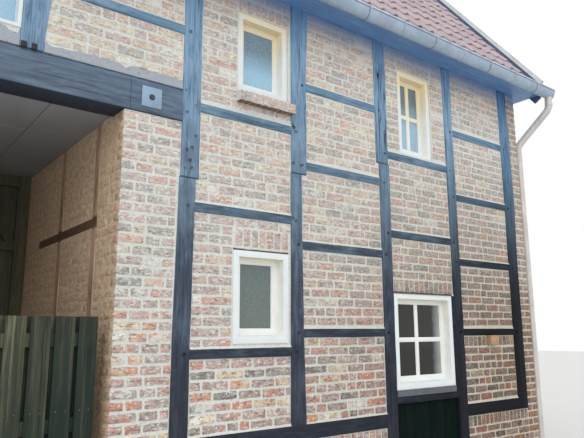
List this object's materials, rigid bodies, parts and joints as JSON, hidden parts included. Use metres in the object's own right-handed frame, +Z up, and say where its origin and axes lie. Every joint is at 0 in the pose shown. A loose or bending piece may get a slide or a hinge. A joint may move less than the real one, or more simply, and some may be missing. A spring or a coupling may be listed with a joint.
{
  "type": "half timbered house",
  "caption": "Half timbered house with brick infill, a covered cart passage, white wooden windows, a steep tiled roof and zinc gutters.",
  "frame": {"origin": "on the ground under the middle of the house", "axes": "+X runs along the eaves to the right as seen from the front, the front faces -Y, +Z is up"},
  "size_m": [8.998, 6.194, 8.7376],
  "materials": {
    "brick": "reclaimed bricks in light grey mortar",
    "dark_timber": "black stained oak",
    "old_timber": "weathered black stained oak with grain and peg holes",
    "brown_timber": "old bare oak",
    "window_paint": "cream white painted wood",
    "window_glass": "plain and frosted glass",
    "green_boards": "very dark green painted boards",
    "screen_wood": "dark grey green weathered boards",
    "fence_wood": "dark green stained boards",
    "floor_wood": "sawn boards",
    "pale_wood": "unpainted wood",
    "floor_stone": "smooth concrete",
    "ceiling_sheet": "dark grey fibre cement sheets",
    "roof_tile": "red clay tiles",
    "eaves_boards": "blue black painted boards",
    "zinc": "weathered zinc sheet",
    "steel_plate": "dark painted steel"
  },
  "bodies": {
    "root": {"plinths": "brick", "sill_beams": "dark_timber", "front_posts_new": "dark_timber", "front_posts_old": "old_timber", "back_posts": "dark_timber", "front_rails": "dark_timber", "back_rails": "dark_timber", "bressumers": "old_timber", "wall_plates": "dark_timber", "infill_over_passage": "brick", "infill_bay_1": "brick", "infill_bay_2": "brick", "infill_bay_3": "brick", "infill_bay_4": "brick", "back_infill": "brick", "brick_window_sills": "brick", "metal_window_sills": "zinc", "piers": "brick", "passage_left_wall": "brick", "passage_right_wall": "brick", "passage_wall_timbers": "brown_timber", "passage_ceiling": "ceiling_sheet", "passage_screen": "screen_wood", "passage_fence": "fence_wood", "ground_floor": "floor_stone", "upper_floors": "floor_wood", "left_gable_wall": "brick", "right_gable_wall": "brick", "window_over_passage": "window_paint", "window_upper_left": "window_paint", "window_upper_right": "window_paint", "window_lower_left": "window_paint", "window_lower_right": "window_paint", "back_windows": "window_paint", "gable_windows": "window_paint", "window_glass": "window_glass", "door_panels": "green_boards", "roof_front": "roof_tile", "roof_back": "roof_tile", "ridge_tiles": "roof_tile", "front_barge_boards": "eaves_boards", "back_barge_boards": "eaves_boards", "eaves_boxes": "eaves_boards", "gutters": "zinc", "downpipes": "zinc", "tie_plate": "steel_plate", "wall_box": "pale_wood"}
  },
  "joints": []
}
